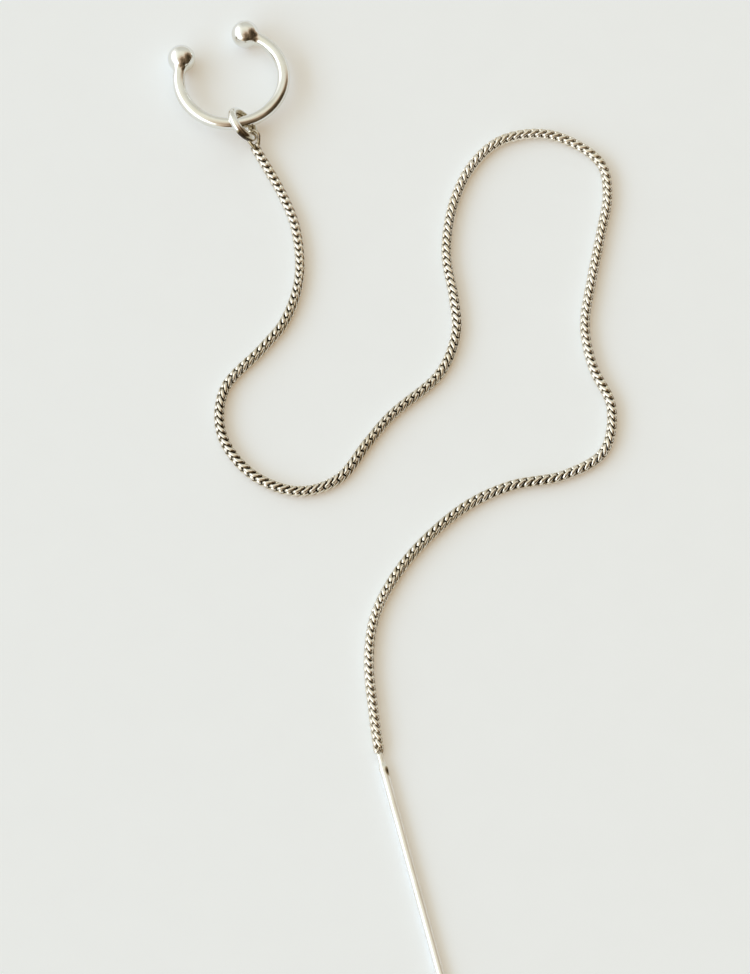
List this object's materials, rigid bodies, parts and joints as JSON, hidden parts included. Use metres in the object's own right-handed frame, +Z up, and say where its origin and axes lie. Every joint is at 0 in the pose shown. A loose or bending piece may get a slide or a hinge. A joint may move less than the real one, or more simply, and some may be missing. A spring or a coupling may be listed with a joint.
{
  "type": "threader earring",
  "caption": "Threader earring: an open ear cuff with ball ends, joined by a jump ring to a long foxtail chain that ends in a straight bar.",
  "frame": {"origin": "on the table, under the middle of the earring's bounding box", "axes": "+Z up from the table, +Y from the bar's tip towards the ear cuff, +X to the right seen from above"},
  "size_m": [0.046, 0.109, 0.0035],
  "materials": {
    "cuff_silver": "polished",
    "ring_silver": "polished",
    "chain_silver": "polished",
    "bar_silver": "polished"
  },
  "bodies": {
    "root": {"ear_cuff": "cuff_silver", "jump_ring": "ring_silver", "chain_end_loop": "ring_silver", "chain": "chain_silver", "threader_bar": "bar_silver"}
  },
  "joints": []
}
